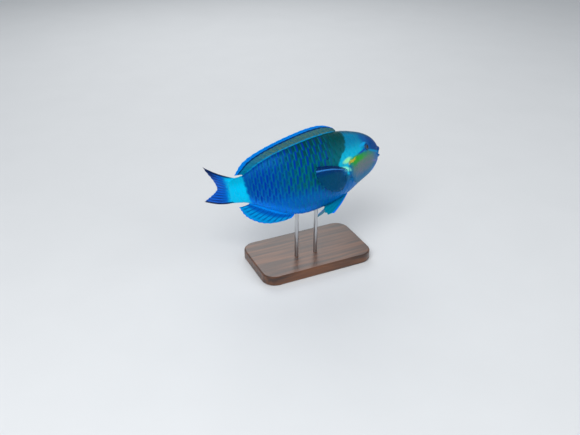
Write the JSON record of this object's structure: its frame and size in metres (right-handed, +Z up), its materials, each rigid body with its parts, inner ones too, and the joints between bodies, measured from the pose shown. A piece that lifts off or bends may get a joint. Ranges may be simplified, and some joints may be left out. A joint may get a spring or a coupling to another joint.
{
  "type": "parrotfish display model",
  "caption": "Life-size parrotfish model swimming with its tail swept round, held over a flat wooden base by steel rods.",
  "frame": {"origin": "middle of the flat underside of the base", "axes": "+X the way the middle of the fish heads, +Y its left, +Z up"},
  "size_m": [0.2863, 0.1311, 0.2206],
  "materials": {
    "head": "moist skin in blue and cyan, satin",
    "trunk": "scaled skin, teal above and royal blue behind, satin",
    "tail": "scaled skin in bright cyan, satin",
    "fin": "fin membrane over rays, blue, satin",
    "pale_fin": "thin fin membrane over rays, blue-green, satin",
    "cheek": "scaled skin mottled in green and grey, satin",
    "eye": "glossy dark eye",
    "beak": "smooth pale blue-green tooth plates",
    "wood": "dark stained and waxed wood",
    "rod": "brushed steel rod"
  },
  "bodies": {
    "root": {"head": "head", "trunk": "trunk", "tail_stem": "tail", "dorsal_fin": "fin", "anal_fin": "fin", "tail_fin": "fin", "gill_cover_left": "cheek", "gill_cover_right": "cheek", "pectoral_fin_left": "pale_fin", "pectoral_fin_right": "pale_fin", "pelvic_fin_left": "pale_fin", "pelvic_fin_right": "pale_fin", "eye_left": "eye", "eye_right": "eye", "beak_upper": "beak", "beak_lower": "beak", "stand_base": "wood", "stand_rod_front": "rod", "stand_rod_rear": "rod"}
  },
  "joints": []
}
